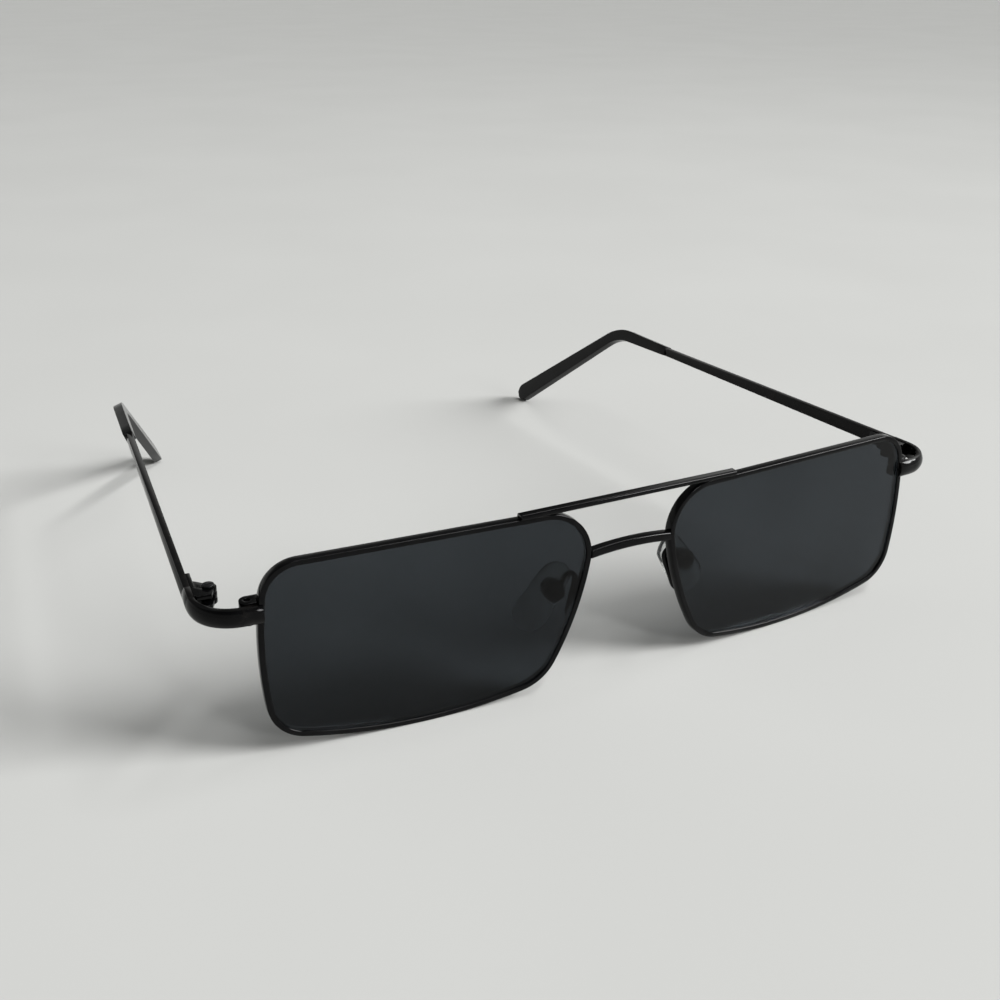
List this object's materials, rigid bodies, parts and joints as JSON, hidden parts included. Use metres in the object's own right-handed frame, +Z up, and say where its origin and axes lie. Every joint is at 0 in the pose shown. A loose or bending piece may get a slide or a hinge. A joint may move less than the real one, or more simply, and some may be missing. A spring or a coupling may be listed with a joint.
{
  "type": "double-bridge sunglasses",
  "caption": "Slim squared wire sunglasses with a straight brow bar over a low bridge, smoke lenses, rocking nose pads and half-round temples that fold flat behind the rims.",
  "frame": {"origin": "middle of the width and depth of the opened glasses, at the level of the table that the rims and the temple tips stand on", "axes": "+X to the wearer's left, +Y from the front back along the temples, +Z up"},
  "size_m": [0.1448, 0.1352, 0.0346],
  "materials": {
    "black_metal": "gloss black lacquer",
    "dark_steel": "darkened screw steel",
    "smoke_lens": "polished neutral smoke tint",
    "black_plastic": "gloss black",
    "clear_plastic": "clear soft plastic"
  },
  "bodies": {
    "front": {"brow_bar": "black_metal", "bridge": "black_metal", "right_eyewire": "black_metal", "left_eyewire": "black_metal", "right_lens": "smoke_lens", "left_lens": "smoke_lens", "right_closing_block_upper": "black_metal", "left_closing_block_upper": "black_metal", "right_closing_block_lower": "black_metal", "left_closing_block_lower": "black_metal", "right_rim_lock_screw": "dark_steel", "left_rim_lock_screw": "dark_steel", "right_end_piece": "black_metal", "left_end_piece": "black_metal", "right_front_hinge": "black_metal", "left_front_hinge": "black_metal", "right_hinge_screw": "dark_steel", "left_hinge_screw": "dark_steel", "right_pad_arm": "black_metal", "left_pad_arm": "black_metal", "right_pad_box": "black_metal", "left_pad_box": "black_metal", "right_pad_screw": "dark_steel", "left_pad_screw": "dark_steel"},
    "right_side": {"right_temple_hinge": "black_metal", "right_temple": "black_metal", "right_temple_tip": "black_plastic"},
    "left_side": {"left_temple_hinge": "black_metal", "left_temple": "black_metal", "left_temple_tip": "black_plastic"},
    "right_pad": {"right_pad_insert": "dark_steel", "right_nose_pad": "clear_plastic"},
    "left_pad": {"left_pad_insert": "dark_steel", "left_nose_pad": "clear_plastic"}
  },
  "joints": [
    {"name": "right_temple_fold", "type": "hinge", "parent": "front", "child": "right_side", "pos_m": [-0.0682, -0.05427, 0.02575], "axis": [0, 0, -1], "range_deg": [0, 84.8]},
    {"name": "left_temple_fold", "type": "hinge", "parent": "front", "child": "left_side", "pos_m": [0.0682, -0.05427, 0.02575], "axis": [0, 0, 1], "range_deg": [0, 80.8]},
    {"name": "right_pad_rock", "type": "hinge", "parent": "front", "child": "right_pad", "pos_m": [-0.0131, -0.06357, 0.018], "axis": [-0.8064, 0.1965, 0.5578], "range_deg": [-10, 10]},
    {"name": "left_pad_rock", "type": "hinge", "parent": "front", "child": "left_pad", "pos_m": [0.0131, -0.06357, 0.018], "axis": [0.8064, 0.1965, 0.5578], "range_deg": [-10, 10]}
  ]
}
